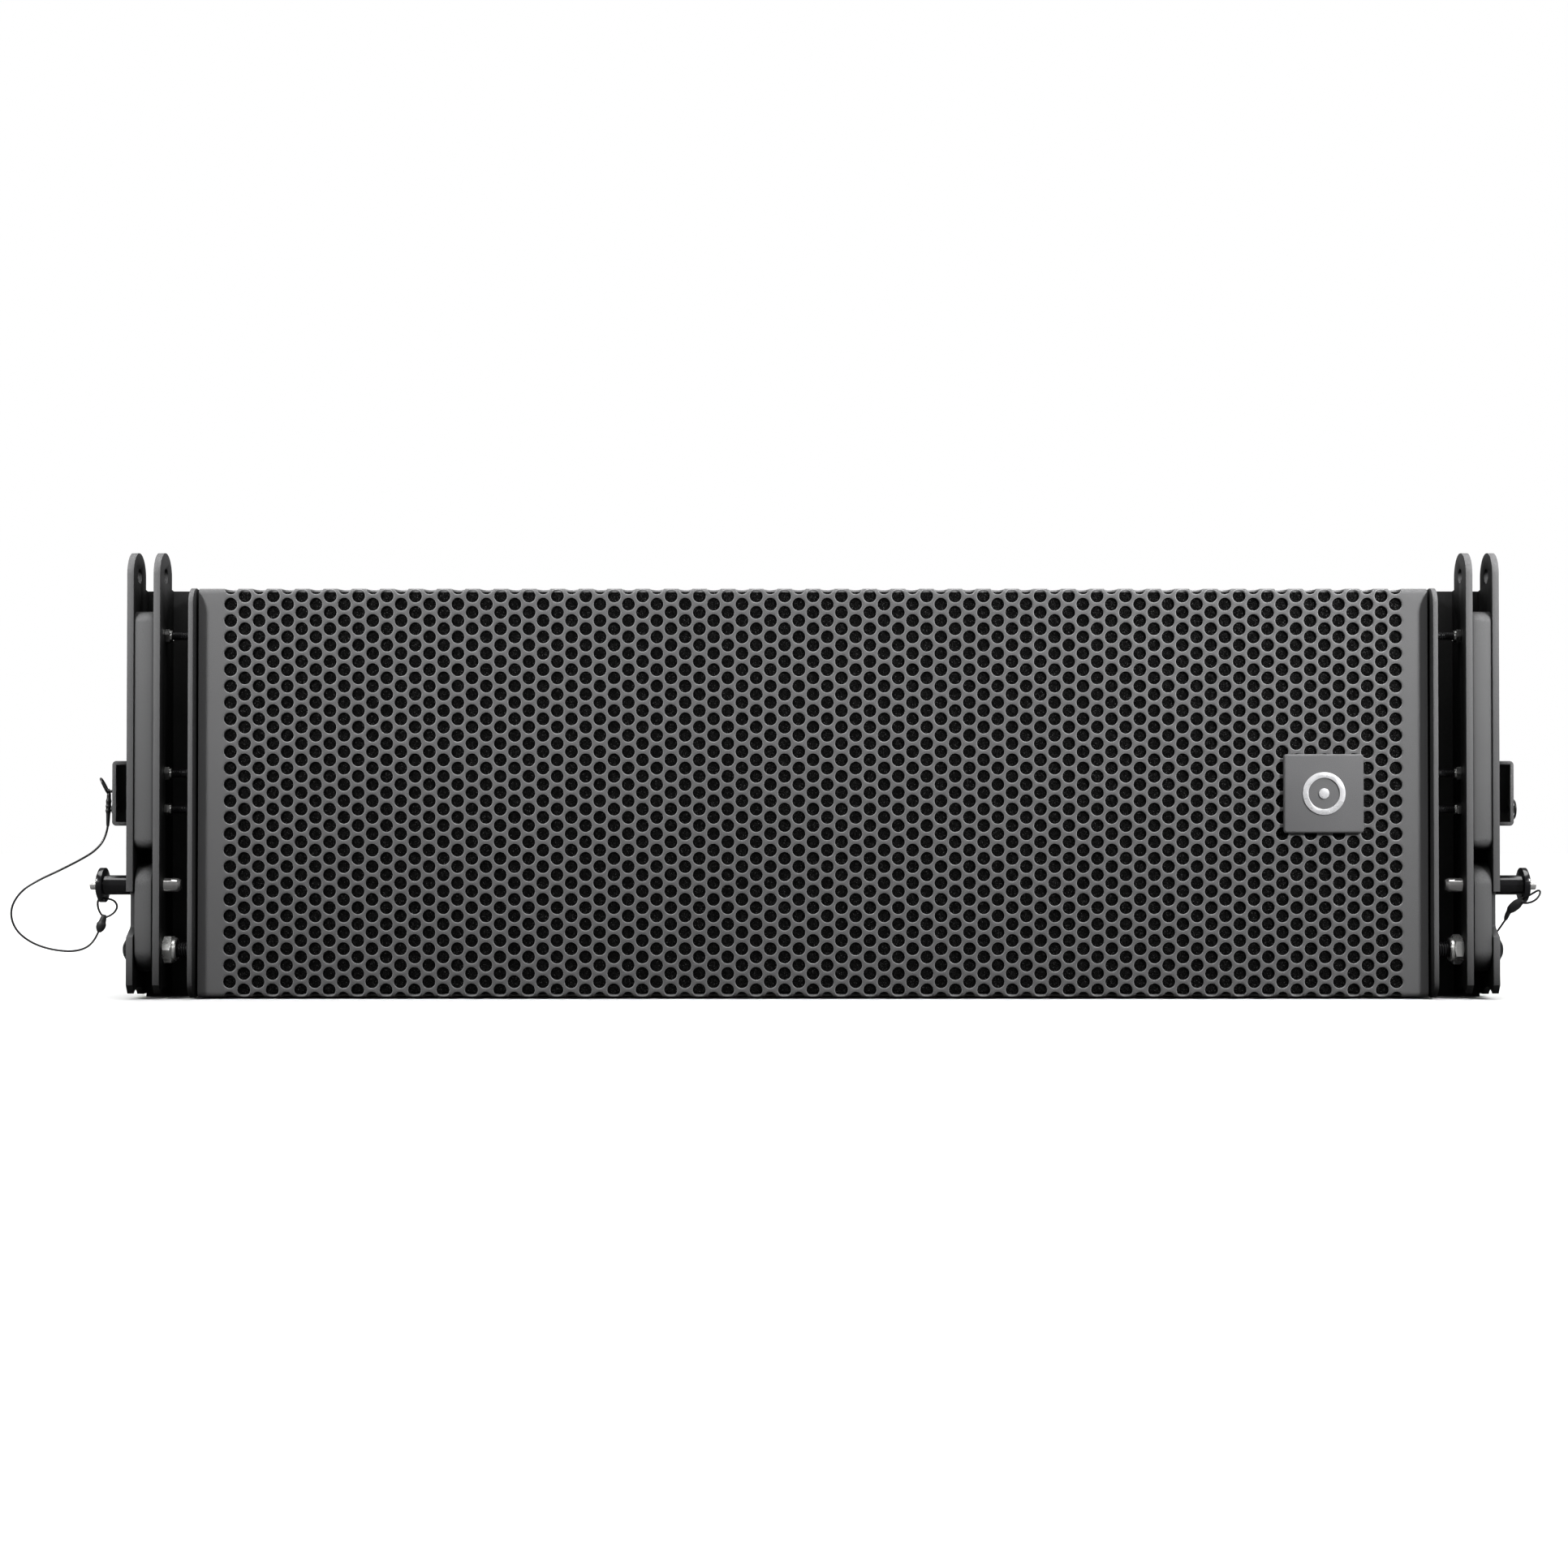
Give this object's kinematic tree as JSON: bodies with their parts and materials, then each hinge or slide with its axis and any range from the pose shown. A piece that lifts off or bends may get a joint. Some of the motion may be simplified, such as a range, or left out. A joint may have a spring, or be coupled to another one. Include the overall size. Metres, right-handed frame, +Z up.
{
  "type": "line array speaker",
  "caption": "Wide wedge loudspeaker with a perforated steel grille, flying plates with links and pins at both ends, and side handles.",
  "frame": {"origin": "on the resting plane, at the centre of the width and the depth of the whole speaker without its lanyards", "axes": "+Z up, -Y out of the grille towards the audience, +X to the right as seen from the front"},
  "size_m": [0.9298, 0.42, 0.2723],
  "materials": {
    "cabinet_paint": "plywood with a coarse black texture paint",
    "plywood": "bare birch plywood inside the cabinet",
    "powder_coat": "steel with fine matte black powder coat",
    "link_paint": "steel bar with fine matte black powder coat",
    "grille_paint": "perforated steel with dark grey powder coat",
    "grille_foam": "open-cell black acoustic foam",
    "badge_metal": "satin dark grey",
    "emblem_metal": "brushed silver",
    "basket_paint": "semi-matte black",
    "ferrite": "dull dark grey magnet with plated plates",
    "cone_paper": "doped black paper",
    "suspension_cloth": "treated cloth",
    "black_screw": "black oxide steel",
    "zinc": "bright zinc plate",
    "moulded_plastic": "black moulded plastic",
    "driver_casting": "cast aluminium",
    "circuit_board": "green laminate",
    "crossover_parts": "varnished coils and capacitors",
    "wadding": "polyester fibre wadding",
    "socket_plastic": "black connector plastic",
    "pin_metal": "stainless shank, gloss black collar and head",
    "button_steel": "turned stainless steel",
    "lanyard_coat": "black nylon-coated wire rope",
    "ferrule_sleeve": "black shrink sleeve over a crimped ferrule"
  },
  "bodies": {
    "cabinet": {"badge_emblem": "emblem_metal", "badge_plate": "badge_metal", "bracket_screws": "black_screw", "cabinet_bottom_panel": "cabinet_paint", "cabinet_braces": "plywood", "cabinet_rear_panel": "cabinet_paint", "cabinet_side_panels": "cabinet_paint", "cabinet_top_panel": "cabinet_paint", "compression_drivers": "driver_casting", "connector_dish": "moulded_plastic", "crossover_board": "circuit_board", "crossover_parts": "crossover_parts", "damping_wadding": "wadding", "dish_screws": "black_screw", "end_plate_left": "powder_coat", "end_plate_right": "powder_coat", "front_baffle": "plywood", "front_bracket_left": "powder_coat", "front_bracket_right": "powder_coat", "front_link_left": "link_paint", "front_link_right": "link_paint", "front_outer_plate_left": "powder_coat", "front_outer_plate_right": "powder_coat", "grille": "grille_paint", "grille_foam": "grille_foam", "hf_waveguide": "moulded_plastic", "lanyard_anchors": "ferrule_sleeve", "lanyard_left": "lanyard_coat", "lanyard_right": "lanyard_coat", "link_bolts": "black_screw", "link_nuts": "zinc", "rear_bracket_left": "powder_coat", "rear_bracket_right": "powder_coat", "rigging_nuts": "zinc", "rigging_screws": "zinc", "rigging_spacers": "powder_coat", "side_handle_left": "powder_coat", "side_handle_right": "powder_coat", "speaker_sockets": "socket_plastic", "woofer_basket_left": "basket_paint", "woofer_basket_right": "basket_paint", "woofer_magnet_left": "ferrite", "woofer_magnet_right": "ferrite", "woofer_screws": "black_screw", "woofer_suspension_left": "suspension_cloth", "woofer_suspension_right": "suspension_cloth"},
    "front_pin_left": {"front_pin_left": "pin_metal", "lanyard_pin_end_left": "ferrule_sleeve"},
    "front_button_left": {"front_pin_button_left": "button_steel"},
    "rear_pin_left": {"rear_pin_left": "pin_metal"},
    "rear_button_left": {"rear_pin_button_left": "button_steel"},
    "rear_link_left": {"rear_link_left": "link_paint"},
    "woofer_cone_left": {"woofer_cone_left": "cone_paper"},
    "front_pin_right": {"front_pin_right": "pin_metal", "lanyard_pin_end_right": "ferrule_sleeve"},
    "front_button_right": {"front_pin_button_right": "button_steel"},
    "rear_pin_right": {"rear_pin_right": "pin_metal"},
    "rear_button_right": {"rear_pin_button_right": "button_steel"},
    "rear_link_right": {"rear_link_right": "link_paint"},
    "woofer_cone_right": {"woofer_cone_right": "cone_paper"}
  },
  "joints": [
    {"name": "front_pin_left_slide", "type": "slide", "parent": "cabinet", "child": "front_pin_left", "axis": [-1, 0, 0], "range_m": [0, 0.03], "deforming": ["lanyard_left"]},
    {"name": "rear_pin_left_slide", "type": "slide", "parent": "cabinet", "child": "rear_pin_left", "axis": [-1, 0, 0], "range_m": [0, 0.03]},
    {"name": "front_button_left_press", "type": "slide", "parent": "front_pin_left", "child": "front_button_left", "axis": [1, 0, 0], "range_m": [0, 0.0025], "stiffness_N_per_m": 1200},
    {"name": "rear_button_left_press", "type": "slide", "parent": "rear_pin_left", "child": "rear_button_left", "axis": [1, 0, 0], "range_m": [0, 0.0025], "stiffness_N_per_m": 1200},
    {"name": "rear_link_left_swing", "type": "hinge", "parent": "cabinet", "child": "rear_link_left", "pos_m": [-0.406, 0.195, 0.09], "axis": [-1, 0, 0], "range_deg": [0, 189.68]},
    {"name": "woofer_cone_left_travel", "type": "slide", "parent": "cabinet", "child": "woofer_cone_left", "axis": [0, -1, 0], "range_m": [-0.006, 0.006], "stiffness_N_per_m": 2500, "deforming": ["woofer_suspension_left"]},
    {"name": "front_pin_right_slide", "type": "slide", "parent": "cabinet", "child": "front_pin_right", "axis": [1, 0, 0], "range_m": [0, 0.03], "deforming": ["lanyard_right"]},
    {"name": "rear_pin_right_slide", "type": "slide", "parent": "cabinet", "child": "rear_pin_right", "axis": [1, 0, 0], "range_m": [0, 0.03]},
    {"name": "front_button_right_press", "type": "slide", "parent": "front_pin_right", "child": "front_button_right", "axis": [-1, 0, 0], "range_m": [0, 0.0025], "stiffness_N_per_m": 1200},
    {"name": "rear_button_right_press", "type": "slide", "parent": "rear_pin_right", "child": "rear_button_right", "axis": [-1, 0, 0], "range_m": [0, 0.0025], "stiffness_N_per_m": 1200},
    {"name": "rear_link_right_swing", "type": "hinge", "parent": "cabinet", "child": "rear_link_right", "pos_m": [0.406, 0.195, 0.09], "axis": [-1, 0, 0], "range_deg": [0, 189.68]},
    {"name": "woofer_cone_right_travel", "type": "slide", "parent": "cabinet", "child": "woofer_cone_right", "axis": [0, -1, 0], "range_m": [-0.006, 0.006], "stiffness_N_per_m": 2500, "deforming": ["woofer_suspension_right"]}
  ]
}
